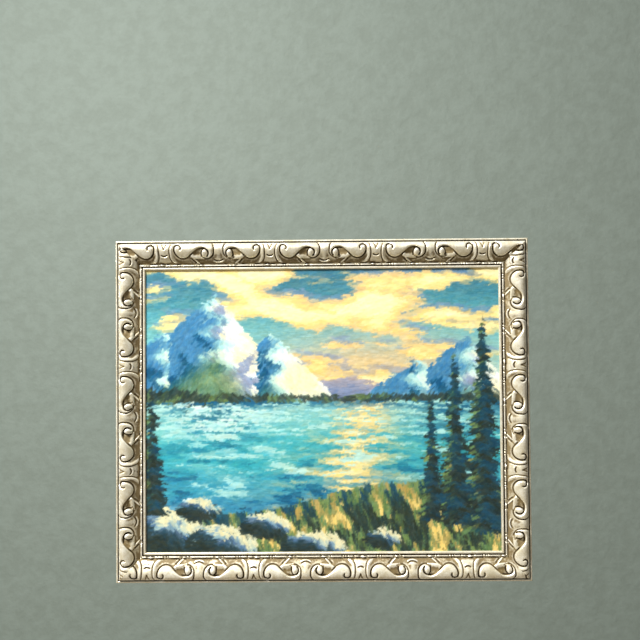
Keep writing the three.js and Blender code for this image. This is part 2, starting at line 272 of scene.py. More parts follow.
def beaded(s, t):
    across = np.sqrt(np.clip(1 - ((t - BEAD_T) / 1.15) ** 2, 0, 1))
    row = np.zeros(s.shape)
    for start, end in DASHES + tuple((c - 0.8, c + 0.8) for c in TICKS):
        end_on = np.clip(((end - start) / 2 - abs(s - (start + end) / 2)) / 0.9, 0, 1)
        row = np.maximum(row, 1.5 * across * np.sqrt(1 - (1 - end_on) ** 2))
    for c in PEARLS:
        row = np.maximum(row, 1.6 * np.sqrt(np.clip(1 - np.hypot(s - c, t - BEAD_T) ** 2 / 1.6, 0, 1)))
    for c, half in TIPS:
        point = 1 - abs(s - c) / half - np.clip(abs(t - BEAD_T + 0.3) / 2.0, 0, 9)
        row = np.maximum(row, 1.7 * ease(0, 0.8, point))
    for c in KNOBS:
        row = np.maximum(row, 2.1 * ease(0, 0.8, 1 - abs(s - c) / 4.6 - abs(t - 34.4) / 2.9))
    return row


def blurred(field, cells):
    """The field smoothed over so many cells; it repeats along the rail and not across it."""
    reach = int(cells * 2.5)
    weights = np.exp(-0.5 * (np.arange(-reach, reach + 1) / cells) ** 2)
    weights /= weights.sum()
    wide = np.pad(field, ((reach, reach), (0, 0)), mode="wrap")
    wide = sum(w * wide[k:k + field.shape[0]] for k, w in enumerate(weights))
    wide = np.pad(wide, ((0, 0), (reach, reach)), mode="edge")
    return sum(w * wide[:, k:k + field.shape[1]] for k, w in enumerate(weights))


# The section between the carved parts: rim, quirk, cushion, bed of the beads and sight lip.
RIM = [(0.25, 19.6), (0.8, 20.0), (1.5, 20.1), (2.2, 20.0), (2.6, 19.2), (3.0, 18.3), (3.35, 18.1)]
LIP = [(37.8, 17.6), (38.3, 18.5), (38.9, 18.75), (39.6, 18.8), (40.2, 18.7), (40.9, 18.3), (41.5, 17.3)]
BED = [(33.0, 18.6), (33.5, 17.6), (34.0, 17.5), (36.4, 17.5), (37.1, 16.9), (37.8, 17.6)]

mould_s, mould_t = np.meshgrid(
    np.arange(0, REPEAT, MOULD_CELL), np.arange(0, RAIL_WIDTH, MOULD_CELL), indexing="ij"
)
from_leaf = np.where(mould_s < 76.7, mould_s, mould_s - REPEAT)
mould = np.where(
    from_leaf >= 0,
    carved_scroll(abs(from_leaf), mould_t, RING_LINES["right"]),
    carved_scroll(abs(from_leaf), mould_t, RING_LINES["left"]),
)
mould *= 0.2 + 0.8 * ease(3.4, 6.2, mould_t)
wander = 0.15 * np.sin(mould_s * 2 * math.pi * 5 / REPEAT) + 0.10 * np.sin(mould_s * 2 * math.pi * 13 / REPEAT + 1)
mould *= np.where(mould_t > 31.5, ease(34.3 + wander, 33.2 + wander, mould_t), 1)
mould = np.where(mould_t < QUIRK_T, 0, blurred(mould, 0.34 / MOULD_CELL))
mould += beaded(mould_s, mould_t) * (mould_t > 31.5)
mould_face = np.where(mould_t < BED_T, cushion(mould_t), np.interp(mould_t, *zip(*(BED + LIP[1:]))))
mould_face = np.where(mould_t < QUIRK_T, np.interp(mould_t, *zip(*RIM)), mould_face) + mould
mould_hollow = blurred(mould_face, 1.3 / MOULD_CELL) - mould_face
mould_low = blurred(np.clip(-mould / 2.6, 0, 1) * (mould_t > QUIRK_T) * (mould_t < BED_T + 1), 0.5 / MOULD_CELL)


def pressed(field, s, t):
    """The mould's value at places along and across a rail."""
    row = (s % REPEAT) / MOULD_CELL
    column = np.clip(t / MOULD_CELL, 0, field.shape[1] - 1.001)
    i, j = np.floor(row).astype(int), np.floor(column).astype(int)
    u, v = row - i, column - j
    i, k = i % len(field), (i + 1) % len(field)
    return ((1 - u) * ((1 - v) * field[i, j] + v * field[i, j + 1])
            + u * ((1 - v) * field[k, j] + v * field[k, j + 1]))


def rolling(s, seed, wave):
    """A slow, seeded wander along the rail, between about -1 and 1."""
    draws = np.random.default_rng(seed)
    total = np.zeros(np.shape(s))
    for k in range(1, 5):
        total += np.sin(s * 2 * math.pi * k / wave + draws.uniform(0, 6.28)) / (k + 1)
    return total


def handwork(s, t, seed):
    """Where on the mould a place on the rail was pressed: it drifts a little along and across."""
    along = 0.35 * rolling(s + 3 * t, seed, 190)
    return along, 0.22 * rolling(s, seed + 9, 120) * ease(4, 9, t) * ease(34, 30, t)


rise = [CREST_T - 9.3 * math.cos(a) for a in np.linspace(0, math.pi / 2, 26)]
fall = list(np.arange(CREST_T + 0.44, BED_T - 0.1, 0.44))
bed = list(np.arange(BED_T, 37.3, 0.36))
plain_face = [(t, float(cushion(t))) for t in rise + fall]
plain_face += [(t, float(np.interp(t, *zip(*BED)))) for t in bed]
side = [(0, 0), (0, 10), (0, 19.2), *RIM]
SECTION = [*side, *plain_face, *LIP, (41.5, REBATE[1]), REBATE, (REBATE[0], 0)]


class Wire:
    """A socket that takes part in sums; each sum adds its Math node."""

    def __init__(self, finish, socket):
        self.finish = finish
        self.socket = socket

    def sum(self, operation, first, second):
        return self.finish.node("Math", {"operation": operation}, {0: first, 1: second})

    def __add__(self, other):
        return self.sum("ADD", self, other)

    def __radd__(self, other):
        return self.sum("ADD", other, self)

    def __sub__(self, other):
        return self.sum("SUBTRACT", self, other)

    def __rsub__(self, other):
        return self.sum("SUBTRACT", other, self)

    def __mul__(self, other):
        return self.sum("MULTIPLY", self, other)

    def __rmul__(self, other):
        return self.sum("MULTIPLY", other, self)

    def __pow__(self, other):
        return self.sum("POWER", self, other)


class Finish:
    """A material built node by node."""

    def __init__(self, name):
        self.material = bpy.data.materials.new(name)
        self.material.use_nodes = True
        self.tree = self.material.node_tree
        self.tree.nodes.clear()

    def node(self, kind, settings=None, sockets=None, out=0):
        made = self.tree.nodes.new("ShaderNode" + kind)
        settings = dict(settings or {})
        stops = settings.pop("stops", None)
        for name, value in settings.items():
            setattr(made, name, value)
        if stops:
            ramp = made.color_ramp.elements
            while len(ramp) < len(stops):
                ramp.new(1.0)
            for stop, (place, colour) in zip(ramp, stops):
                stop.position = place
                stop.color = (*colour, 1)
        for name, value in (sockets or {}).items():
            if isinstance(value, Wire):
                self.tree.links.new(value.socket, made.inputs[name])
            else:
                made.inputs[name].default_value = value
        return Wire(self, made.outputs[out]) if made.outputs else None

    def place(self):
        return self.node("TexCoord", out="Object")

    def painted(self, name, out="Fac"):
        return self.node("Attribute", {"attribute_name": name}, out=out)

    def noise(self, place, scale, detail=3.0, rough=0.55, warp=0.0):
        sockets = {"Vector": place, "Scale": scale, "Detail": detail, "Roughness": rough, "Distortion": warp}
        return self.node("TexNoise", None, sockets)

    def stretch(self, place, x, y, z):
        return self.node("Mapping", None, {"Vector": place, "Scale": (x, y, z)})

    def between(self, value, low, high, start=0.0, end=1.0):
        sockets = {"Value": value, "From Min": low, "From Max": high, "To Min": start, "To Max": end}
        return self.node("MapRange", {"interpolation_type": "SMOOTHSTEP"}, sockets)

    def mix(self, part, first, second, blend="MIX"):
        colours = [c if isinstance(c, Wire) else (*c, 1) for c in (first, second)]
        settings = {"data_type": "RGBA", "blend_type": blend}
        return self.node("Mix", settings, {0: part, 6: colours[0], 7: colours[1]}, out=2)

    def bump(self, height, deep, under=None):
        sockets = {"Height": height, "Distance": deep, "Strength": 1.0}
        if under is not None:
            sockets["Normal"] = under
        return self.node("Bump", None, sockets, out="Normal")

    def surface(self, **sockets):
        names = {name.replace("_", " "): value for name, value in sockets.items()}
        shader = self.node("BsdfPrincipled", None, names)
        self.node("OutputMaterial", None, {"Surface": shader})
        return self.material


def silver_leaf():
    """Champagne leaf, satin: brighter on what stands up, partly rubbed leaf and partly a painted highlight; a brown
    antique wash in what lies low, deepened with painted shade, and near-black painted shade in the cut lines.
    """
    leaf = Finish("silver_leaf")
    place = leaf.place()
    hollow = leaf.painted("hollow")
    low = leaf.painted("low")
    patches = leaf.noise(place, 70, 5, 0.65)
    grain = leaf.noise(place, 420, 3, 0.6)
    specks = leaf.noise(place, 1300, 2, 0.5)
    uneven = (patches - 0.5) * 1.3 + (grain - 0.5) * 0.5
    # Painted shade: the brown antique wash, made darker than a patina alone, in the hollows and on the low ground.
    wash_and_shade = leaf.between(hollow * 1.2 + low * 0.50 + uneven * 0.80, 0.14, 0.50)
    # Painted shade: the cut lines and quirks go nearly black.
    groove_shade = leaf.between(hollow + (grain - 0.5) * 0.35, 0.24, 0.70)
    # Brighter on what stands up: rubbed leaf, and a painted highlight.
    rubbed_and_highlight = leaf.between((0 - hollow) + (grain - 0.5) * 0.8, 0.25, 0.8)
    tone = leaf.between(patches + (grain - 0.5) * 0.5, 0.32, 0.70)
    colour = leaf.mix(tone, (0.74, 0.67, 0.48), (0.95, 0.92, 0.79))
    # The painted highlight on raised parts, then the wash with its painted shade, then the painted shade of the cut
    # lines.
    colour = leaf.mix(rubbed_and_highlight * 0.75, colour, (1.0, 0.97, 0.88))
    colour = leaf.mix(wash_and_shade * 0.92, colour, (0.155, 0.100, 0.024))
    colour = leaf.mix(groove_shade * 0.96, colour, (0.014, 0.008, 0.003))
    fly = leaf.between(specks, 0.68, 0.75)
    colour = leaf.mix(fly * 0.4, colour, (0.10, 0.065, 0.03))
    height = grain * 0.5 + patches * 0.6 + specks * 0.15
    return leaf.surface(
        Base_Color=colour,
        Metallic=0.50 - wash_and_shade * 0.40 - groove_shade * 0.10,
        Roughness=0.36 + tone * 0.06 + wash_and_shade * 0.22 + groove_shade * 0.15,
        Specular_IOR_Level=0.25,
        Normal=leaf.bump(height, 0.00025),
    )


def bare_wood(name, pale, deep, along):
    """Planed softwood with its grain along the piece."""
    wood = Finish(name)
    place = wood.place()
    drawn_out = wood.stretch(place, *along)
    rings = wood.noise(drawn_out, 90, 3, 0.55, 0.6)
    fibre = wood.noise(drawn_out, 900, 3, 0.6)
    stain = wood.noise(place, 9, 3, 0.6)
    tone = wood.between(rings + (fibre - 0.5) * 0.35, 0.3, 0.72)
    colour = wood.mix(tone, pale, deep)
    colour = wood.mix(wood.between(stain, 0.5, 0.8) * 0.35, colour, tuple(c * 0.55 for c in deep))
    return wood.surface(
        Base_Color=colour,
        Roughness=0.62 + tone * 0.14,
        Normal=wood.bump(fibre * 0.5 + rings, 0.0004),
    )


silver = silver_leaf()
rail_wood = {
    "level": bare_wood("rail_wood_level", (0.50, 0.34, 0.19), (0.34, 0.20, 0.10), (0.05, 1, 1)),
    "upright": bare_wood("rail_wood_upright", (0.50, 0.34, 0.19), (0.34, 0.20, 0.10), (1, 1, 0.05)),
}


def rail_piece(name, turns):
    length, across, first_leaf, repeat = RAILS[name]
    half = across / 2
    steps = round(length / STEP_ALONG)
    body = bmesh.new()
    bmesh.ops.create_grid(body, x_segments=steps, y_segments=len(SECTION), size=0.5)
    mesh = bpy.data.meshes.new(name + "_moulding")
    body.to_mesh(mesh)
    body.free()
    at = np.empty(len(mesh.vertices) * 3)
    mesh.vertices.foreach_get("co", at)
    at = at.reshape(-1, 3)
    corner = np.rint((at[:, 1] + 0.5) * len(SECTION)).astype(int) % len(SECTION)
    section = np.array(SECTION)[corner]
    at = np.stack([at[:, 0] * length, -section[:, 1], half - section[:, 0]], axis=1)

    # The mould is pressed into the face, with the small drift of handwork.
    s, t = at[:, 0] + length / 2, section[:, 0]
    seed = len(name)
    drift, sideways = handwork(s, t, seed)
    along, sideways = (s - first_leaf) * REPEAT / repeat + drift, t + sideways
    carved = (corner > len(side)) & (corner < len(side) + len(plain_face))
    at[:, 1] -= np.where(carved, pressed(mould, along, sideways), 0)
    worn = 0.07 * rolling(s, seed + 4, 60) + 0.04 * rolling(s * 3.1, seed + 5, 47)
    front = at[:, 1] < -17.2
    at[:, 1] += np.where(front, worn, 0)
    mesh.vertices.foreach_set("co", at.ravel())

    # The ends are sawn to 45 degrees and closed.
    body = bmesh.new()
    body.from_mesh(mesh)
    bmesh.ops.remove_doubles(body, verts=body.verts, dist=1e-4)
    for end in (-1, 1):
        cut = bmesh.ops.bisect_plane(
            body, geom=body.verts[:] + body.edges[:] + body.faces[:], dist=1e-5,
            plane_co=(end * (length / 2 - MITRE_GAP * math.sqrt(2)), 0, half),
            plane_no=(end, 0, -1), clear_outer=True,
        )
        sawn = [e for e in cut["geom_cut"] if isinstance(e, bmesh.types.BMEdge)]
        bmesh.ops.holes_fill(body, edges=[e for e in sawn if e.is_boundary], sides=0)
    bmesh.ops.triangulate(body, faces=[f for f in body.faces if len(f.verts) > 4])
    bmesh.ops.recalc_face_normals(body, faces=body.faces)
    body.to_mesh(mesh)
    body.free()

    at = np.empty(len(mesh.vertices) * 3)
    mesh.vertices.foreach_get("co", at)
    at = at.reshape(-1, 3)
    s, t, d = at[:, 0] + length / 2, half - at[:, 2], -at[:, 1]
    drift, sideways = handwork(s, t, seed)
    along = (s - first_leaf) * REPEAT / repeat + drift
    hollow = pressed(mould_hollow, along, t + sideways) * (d > 16.5)
    # Painted shade: dark lines along the quirk by the rim and on both sides of the beads.
    for line_t, wide, dark in ((3.25, 0.7, 1.1), (33.4, 0.75, 0.8), (36.95, 1.05, 1.4)):
        hollow += ditch(t - line_t, wide, dark) * (d > 16.4)
    # The outer side is painted dark, darkest towards the back.
    hollow = np.where((t < 0.1) & (d < 19), 0.45 + 0.3 * (1 - d / 19), hollow)
    sunk = np.clip(pressed(mould_low, along, t + sideways) * (d > 16.5), 0, 1)
    # These attributes carry the wash and its painted shade to the silver leaf.
    for wash_and_shade_attribute, values in (("hollow", hollow), ("low", sunk)):
        held = mesh.attributes.new(wash_and_shade_attribute, "FLOAT", "POINT")
        held.data.foreach_set("value", values.astype(np.float32))
    wooden = np.zeros(len(mesh.polygons), np.int32)
    middle = np.empty(len(mesh.polygons) * 3)
    mesh.polygons.foreach_get("center", middle)
    middle = middle.reshape(-1, 3)
    behind = (-middle[:, 1] < 0.01) | ((half - middle[:, 2] > 35.4) & (-middle[:, 1] < REBATE[1] + 0.01))
    wooden[behind] = 1
    mesh.materials.append(silver)
    mesh.materials.append(rail_wood["upright" if turns % 2 else "level"])
    mesh.polygons.foreach_set("material_index", wooden)
    mesh.polygons.foreach_set("use_smooth", np.ones(len(mesh.polygons), bool))
    mesh.set_sharp_from_angle(angle=math.radians(58))

    mesh.transform(
        Matrix.Translation(FRAME_MIDDLE + Vector((0, FRAME_BACK * MM, 0)))
        @ Matrix.Rotation(math.radians(90 * turns), 4, "Y")
        @ Matrix.Scale(MM, 4)
    )
    piece = bpy.data.objects.new(name + "_carved", mesh)
    scene.collection.objects.link(piece)
    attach(piece, "root")
    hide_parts(name)
    return piece


for turns, name in enumerate(RAILS):
    rail_piece(name, turns)

# ---- The canvas and its painting ----------------------------------------------------------
# Primed cotton canvas, turned down over the stretcher and on to its back, painted in oils with
# a flat bristle brush and given a satin varnish. The picture is a mountain lake at evening.

canvas_low, canvas_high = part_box("canvas")
CANVAS_WIDTH, CANVAS_HEIGHT = ((canvas_high - canvas_low) / MM).xz
CANVAS_FRONT, CANVAS_BACK = canvas_low.y / MM, canvas_high.y / MM
CANVAS_MIDDLE = (canvas_high + canvas_low) / 2
CLOTH = 1.2
TURNOVER = 20
COLUMNS, ROWS = 330, 264
PIGMENTS = {
    "deep sky": (0.24, 0.47, 0.55), "sky": (0.33, 0.65, 0.69), "pale sky": (0.55, 0.80, 0.79),
    "yellow": (0.98, 0.86, 0.50), "cream": (0.99, 0.93, 0.71), "peach": (0.90, 0.72, 0.57),
    "foam": (0.68, 0.89, 0.87), "white": (0.94, 0.97, 0.94), "cobalt": (0.22, 0.47, 0.67),
    "deep blue": (0.08, 0.34, 0.49), "turquoise": (0.23, 0.68, 0.72), "olive": (0.42, 0.54, 0.33),
    "violet": (0.47, 0.54, 0.70), "night green": (0.15, 0.21, 0.20), "ochre": (0.72, 0.60, 0.34),
}
draws = np.random.default_rng(41)


def clouds(x, y, size_x, size_y, seed, layers=4):
    """Seeded soft noise between 0 and 1 over places in millimetres."""
    total, weight = np.zeros(x.shape), 0.0
    for k in range(layers):
        grid = np.random.default_rng(seed * 31 + k).random((64, 64))
        a, b = x * 2**k / size_x + 7.3 * k, y * 2**k / size_y + 3.1 * k
        i, j = np.floor(a).astype(int), np.floor(b).astype(int)
        u, v = a - i, b - j
        u, v = u * u * (3 - 2 * u), v * v * (3 - 2 * v)
        i, j, m, n = i % 64, j % 64, (i + 1) % 64, (j + 1) % 64
        near = (1 - u) * grid[i, j] + u * grid[m, j]
        far = (1 - u) * grid[i, n] + u * grid[m, n]
        total += ((1 - v) * near + v * far) * 0.6**k
        weight += 0.6**k
    return total / weight


def blend(under, pigment, part):
    return under + (np.array(PIGMENTS[pigment]) - under) * np.clip(part, 0, 1)[..., None]


def lake_at_evening(x, y):
    """The colour meant for each place, x millimetres from the left and y from the top, with the
    lie of the brush there as an angle, and how broken the handling is."""
    w, h = CANVAS_WIDTH, CANVAS_HEIGHT
    u, v = x / w, y / h
    shore = 0.47
    picture = np.ones((*x.shape, 3)) * PIGMENTS["sky"]
    picture = blend(picture, "deep sky", ease(0.26, 0.0, v + 0.10 * (clouds(x, y, 120, 60, 3) - 0.5)))
    picture = blend(picture, "pale sky", ease(0.10, 0.42, v))
    glow = np.exp(-(((u - 0.63) / 0.30) ** 2) - ((v - 0.40) / 0.16) ** 2)
    picture = blend(picture, "peach", glow * 0.9)
    picture = blend(picture, "yellow", np.exp(-(((u - 0.63) / 0.17) ** 2) - ((v - 0.42) / 0.085) ** 2))
    bank = clouds(x + 0.9 * y, y - 0.16 * x, 130, 34, 8)
    bank2 = clouds(x + 0.9 * y, y - 0.16 * x + 7, 130, 34, 8)
    lit = ease(0.555, 0.64, bank + 0.10 * np.exp(-(((u - 0.55) / 0.35) ** 2)) - 0.05 * (v > 0.33))
    under = ease(0.53, 0.63, bank2 + 0.08 * np.exp(-(((u - 0.55) / 0.35) ** 2)))
    picture = blend(picture, "violet", under * 0.55 * (v < shore))
    picture = blend(picture, "yellow", lit * 0.95)
    picture = blend(picture, "cream", lit * ease(0.56, 0.72, bank))
    picture = blend(picture, "peach", lit * ease(0.62, 0.52, bank) * 0.5)

    # A far range, then the snow peaks, lit from the right.
    angle = -0.06 + 0.35 * (clouds(x, y, 160, 70, 5) - 0.5)
    broken = np.full(x.shape, 0.35)
    far = shore - 0.075 - 0.05 * clouds(x, 0 * x, 60, 9, 12) + 0.05 * u
    picture = blend(picture, "violet", ease(0, 0.006, v - far) * 0.95)
    picture = blend(picture, "peach", ease(0, 0.006, v - far) * ease(0.05, 0.0, v - far) * 0.5 * ease(0.3, 0.7, u))
    peaks = ((0.20, 0.10, 1.25), (0.07, 0.22, 1.2), (0.36, 0.235, 1.05), (0.90, 0.255, 1.15), (0.765, 0.325, 1.0))
    ridge = np.full(x.shape, 9.0)
    lean = np.zeros(x.shape)
    jag = 0.045 * (clouds(x, y * 0.2, 34, 40, 15, 5) - 0.5)
    for top_u, top_v, slope in peaks:
        line = top_v + slope * abs(u - top_u) * (0.80 + 0.35 * (u > top_u)) + jag
        lean = np.where(line < ridge, u - top_u - 0.022 * np.sin(v * 75) - 0.05 * (clouds(x, y, 26, 40, 17) - 0.5), lean)
        ridge = np.minimum(ridge, line)
    mountain = ease(0, 0.005, v - ridge) * (v < shore)
    down = v - ridge
    face = blend(picture * 0 + PIGMENTS["foam"], "white", ease(-0.01, 0.06, lean))
    face = blend(face, "cream", ease(0.0, 0.05, lean) * ease(0.35, 0.6, clouds(x, y, 40, 30, 19)) * 0.8)
    face = blend(face, "cobalt", ease(0.012, -0.035, lean) * 0.9)
    rock = ease(0.53, 0.62, clouds(x + 0.8 * y * np.sign(lean), y, 26, 44, 21, 5) + 0.9 * (down - 0.11))
    face = blend(face, "deep blue", rock * ease(0.04, -0.03, lean))
    face = blend(face, "violet", rock * ease(-0.03, 0.04, lean) * 0.8)
    face = blend(face, "olive", ease(0.15, 0.26, down + 0.06 * (clouds(x, y, 30, 30, 23) - 0.5)) * 0.75)
    face = blend(face, "foam", ease(shore - 0.045, shore, v) * 0.35)
    picture = picture * (1 - mountain[..., None]) + face * mountain[..., None]
    angle = np.where(mountain > 0.5, np.where(lean > 0, 0.75, -0.85) + 0.5 * (clouds(x, y, 30, 30, 25) - 0.5), angle)
    broken = np.where(mountain > 0.5, 1.0, broken)
    wood = shore - 0.012 - 0.022 * clouds(x, 0 * x, 22, 9, 27, 5) - 0.02 * np.exp(-(((u - 0.02) / 0.2) ** 2))
    trees = ease(0, 0.004, v - wood) * (v < shore + 0.004)
    picture = blend(picture, "night green", trees * 0.85)
    picture = blend(picture, "olive", trees * ease(0.5, 0.7, clouds(x, y, 10, 8, 29)) * 0.8)

    # The lake: broken reflections, a path of light and the wind's ripples.
    water = v > shore
    depth = (v - shore) / (1 - shore)
    lake = blend(np.ones((*x.shape, 3)) * PIGMENTS["pale sky"], "turquoise", ease(0.0, 0.35, depth))
    lake = blend(lake, "cobalt", ease(0.25, 0.95, depth + 0.3 * (clouds(x, y * 3, 120, 60, 31) - 0.5)) * 0.85)
    ripple = clouds(x, y, 60 * (0.4 + depth), 5.0 * (0.5 + 1.6 * depth), 33, 5)
    mirror = np.exp(-(((u - 0.21 - 0.03 * (ripple - 0.5)) / (0.15 - 0.08 * depth)) ** 2)) * ease(0.62, 0.0, depth)
    lake = blend(lake, "white", mirror * ease(0.42, 0.58, ripple) * 0.9)
    lake = blend(lake, "deep blue", mirror * ease(0.50, 0.36, ripple) * 0.8)
    dark = np.exp(-(((u - 0.90) / 0.16) ** 2)) * ease(0.6, 0.0, depth) + ease(0.07, 0.0, depth)
    lake = blend(lake, "deep blue", np.clip(dark, 0, 1) * ease(0.60, 0.42, ripple) * 0.85)
    path = np.exp(-(((u - 0.62 + 0.10 * depth + 0.07 * (ripple - 0.5)) / (0.055 + 0.16 * depth)) ** 2))
    lake = blend(lake, "peach", path * ease(0.30, 0.55, ripple) * 0.65)
    lake = blend(lake, "yellow", path * ease(0.42, 0.56, ripple) * 0.95)
    lake = blend(lake, "cream", path * ease(0.52, 0.64, ripple))
    lake = blend(lake, "foam", ease(0.585, 0.66, ripple) * 0.85)
    lake = blend(lake, "deep blue", ease(0.40, 0.30, ripple) * ease(0.2, 0.6, depth) * 0.8)
    picture = np.where(water[..., None], lake, picture)
    angle = np.where(water, 0.10 * (clouds(x, y, 50, 20, 35) - 0.5), angle)
    broken = np.where(water, 0.75, broken)

    # The near shore: a stream over boulders at the left, a meadow, and reeds.
    bank_line = 0.80 + 0.055 * np.sin(u * 5.2 + 0.6) + 0.03 * (clouds(x, 0 * x, 40, 9, 37, 4) - 0.5)
    meadow = ease(0, 0.006, v - bank_line)
    land = np.ones((*x.shape, 3)) * PIGMENTS["olive"]
    tufts = clouds(x - 0.35 * y, y, 9, 24, 39, 5)
    land = blend(land, "night green", ease(0.56, 0.42, tufts) * 0.9)
    land = blend(land, "deep blue", ease(0.10, 0.0, v - bank_line) * ease(0.55, 0.40, tufts) * 0.6)
    land = blend(land, "ochre", ease(0.56, 0.66, tufts) * 0.85)
    land = blend(land, "yellow", ease(0.63, 0.70, tufts) * ease(0.02, 0.10, v - bank_line) * 0.9)
    picture = picture * (1 - meadow[..., None]) + land * meadow[..., None]
    angle = np.where(meadow > 0.5, 1.35 + 0.5 * (tufts - 0.5), angle)
    broken = np.where(meadow > 0.5, 1.0, broken)
    for at_u, at_v, wide, high, seed in (
        (0.06, 0.93, 0.12, 0.095, 1), (0.22, 0.965, 0.10, 0.075, 2), (0.155, 0.845, 0.065, 0.04, 3),
        (0.335, 0.90, 0.07, 0.045, 4), (0.47, 0.975, 0.09, 0.055, 5), (0.66, 0.945, 0.05, 0.035, 6),
    ):
        lump = ((u - at_u) / wide) ** 2 + ((v - at_v) / high) ** 2 + 0.7 * (clouds(x, y, 24, 20, 50 + seed) - 0.5)
        stone = ease(1.04, 0.96, lump)
        light = ease(-0.35, 0.75, (u - at_u) / wide * 0.55 - (v - at_v) / high + 0.9 * (clouds(x, y, 12, 12, 60 + seed) - 0.5))
        rock = blend(picture * 0 + PIGMENTS["night green"], "cobalt", light * 0.75)
        rock = blend(rock, "violet", ease(0.35, 0.75, light) * 0.6)
        rock = blend(rock, "foam", ease(0.60, 0.90, light) * 0.6)
        rock = blend(rock, "cream", ease(0.72, 1.0, light) * 0.8)
        picture = picture * (1 - stone[..., None]) + rock * stone[..., None]
        ring = ease(1.26, 1.06, lump) * ease(1.0, 1.1, lump) * (meadow < 0.5)
        picture = blend(picture, "white", ring * ease(0.4, 0.6, clouds(x, y, 14, 6, 70 + seed)))
        angle = np.where(stone > 0.5, 0.5 * np.sign(u - at_u) + 0.4, angle)
    for at_u, top_v, foot_v, wide in (
        (0.945, 0.17, 0.93, 0.075), (0.865, 0.30, 0.90, 0.055), (0.80, 0.45, 0.885, 0.038), (0.025, 0.40, 0.86, 0.05),
    ):
        rise = (v - top_v) / (foot_v - top_v)
        tier = np.clip(rise, 0, 1) ** 0.85 * (0.62 + 0.38 * np.abs(np.sin(rise * 34 + 6 * clouds(x, y, 30, 12, 81))))
        tier *= 0.75 + 0.6 * (clouds(x, y, 9, 5, 83) - 0.2)
        tree = ease(0.02, -0.02, abs(u - at_u) / wide - tier) * (rise > 0) * (rise < 1)
        lit_side = ease(0.0, 0.8, (at_u - u) / (wide * np.maximum(tier, 0.05))) * ease(0.45, 0.65, clouds(x, y, 7, 5, 85))
        bough = blend(picture * 0 + PIGMENTS["night green"], "deep blue", 0.5 * ease(0.4, 0.6, clouds(x, y, 20, 9, 87)))
        bough = blend(bough, "olive", lit_side)
        bough = blend(bough, "ochre", lit_side * ease(0.6, 0.75, clouds(x, y, 6, 4, 89)) * 0.8)
        picture = picture * (1 - tree[..., None]) + bough * tree[..., None]
        angle = np.where(tree > 0.5, np.where(u > at_u, 0.5, -0.5), angle)
        broken = np.where(tree > 0.5, 1.0, broken)
    return np.clip(picture, 0, 1), angle, broken


def brushed(x, y, pitch):
    """The picture laid on in strokes, broad ones first: its colour and how thick the paint is."""
    meant, lie, broken = lake_at_evening(x, y)
    columns, rows = x.shape
    colour = meant.copy()
    body = np.zeros(x.shape)
    for wide, long, share, thick in ((15, 46, 1.5, 0.10), (8, 27, 1.6, 0.16), (4.6, 15, 1.7, 0.22), (3.1, 9, 1.6, 0.24)):
        number = int(CANVAS_WIDTH * CANVAS_HEIGHT / (wide * long) * share)
        for cx, cy, chance, tint, warm, turn in draws.random((number, 6)):
            i, j = int(cx * (columns - 1)), int(cy * (rows - 1))
            if chance > 0.35 + 0.65 * broken[i, j] and wide < 6:
                continue
            mid_x, mid_y = x[i, j], y[i, j]
            tone = meant[i, j] + (tint - 0.5) * 0.075
            tone = tone + (warm - 0.5) * np.array((0.05, 0.0, -0.06))
            if abs(tone - colour[i, j]).sum() < 0.035 and wide < 6:
                continue
            a = lie[i, j] + (turn - 0.5) * 0.5
            reach = int(long * 0.6 / pitch) + 2
            low_i, high_i = max(0, i - reach), min(columns, i + reach + 1)
            low_j, high_j = max(0, j - reach), min(rows, j + reach + 1)
            dx = x[low_i:high_i, low_j:high_j] - mid_x
            dy = y[low_i:high_i, low_j:high_j] - mid_y
            along = dx * math.cos(a) + dy * math.sin(a)
            across = -dx * math.sin(a) + dy * math.cos(a) + (along / long) ** 2 * wide * (turn - 0.5) * 1.5
            hairs = 0.5 + 0.5 * np.sin(across * 5.2 / wide * 3 + tint * 40) * np.sin(across * 3.1 + warm * 30)
            end = 1 - abs(along) / (long / 2) - 0.25 * hairs
            laid = np.clip(end * 4, 0, 1) * np.clip((1 - abs(across) / (wide / 2)) * 3.0, 0, 1)
            laid = np.clip(laid * (0.75 + 0.5 * hairs), 0, 1)
            window = (slice(low_i, high_i), slice(low_j, high_j))
            colour[window] += (tone - colour[window]) * (laid * 0.94)[..., None]
            edge = ditch(abs(across) - wide * 0.40, wide * 0.12, 0.7)
            ridge = thick * (0.45 + 0.55 * hairs + edge) * laid
            body[window] = body[window] * (1 - 0.55 * laid) + ridge
    return np.clip(colour, 0.01, 1), body


def canvas_material():
    """Oil paint with the brush's hair lines and a satin varnish, thin enough to show the weave."""
    oil = Finish("oil_on_canvas")
    place = oil.place()
    paint = oil.painted("paint", "Color")
    upright = oil.painted("upright")
    body = oil.painted("body")
    level_hairs = oil.noise(oil.stretch(place, 0.10, 1, 1), 1050, 3, 0.55, 0.5)
    upright_hairs = oil.noise(oil.stretch(place, 1, 1, 0.12), 1000, 3, 0.55, 0.5)
    hairs = level_hairs * (1 - upright) + upright_hairs * upright
    smear = oil.noise(oil.stretch(place, 0.25, 1, 1), 330, 3, 0.55)
    rows = oil.node("TexWave", {"wave_type": "BANDS", "bands_direction": "X"},
                    {"Vector": place, "Scale": 330, "Distortion": 2.5, "Detail": 2}, out="Fac")
    picks = oil.node("TexWave", {"wave_type": "BANDS", "bands_direction": "Z"},
                     {"Vector": place, "Scale": 330, "Distortion": 2.5, "Detail": 2}, out="Fac")
    weave = rows * picks
    light = oil.between(hairs + (smear - 0.5) * 0.8, 0.36, 0.70)
    colour = oil.mix(0.20, paint, oil.mix(light, (0.30, 0.33, 0.36), (0.86, 0.84, 0.76)), "SOFT_LIGHT")
    thin = 1 - oil.between(body, 0.05, 0.3)
    colour = oil.mix(weave * thin * 0.035, colour, (0.85, 0.80, 0.66))
    height = hairs * 0.5 + smear * 0.3 + weave * thin * 0.12
    return oil.surface(
        Base_Color=colour,
        Roughness=0.42 - light * 0.10 + thin * 0.08,
        Coat_Weight=0.18 + light * 0.1,
        Coat_Roughness=0.22,
        Normal=oil.bump(height, 0.0002),
    )


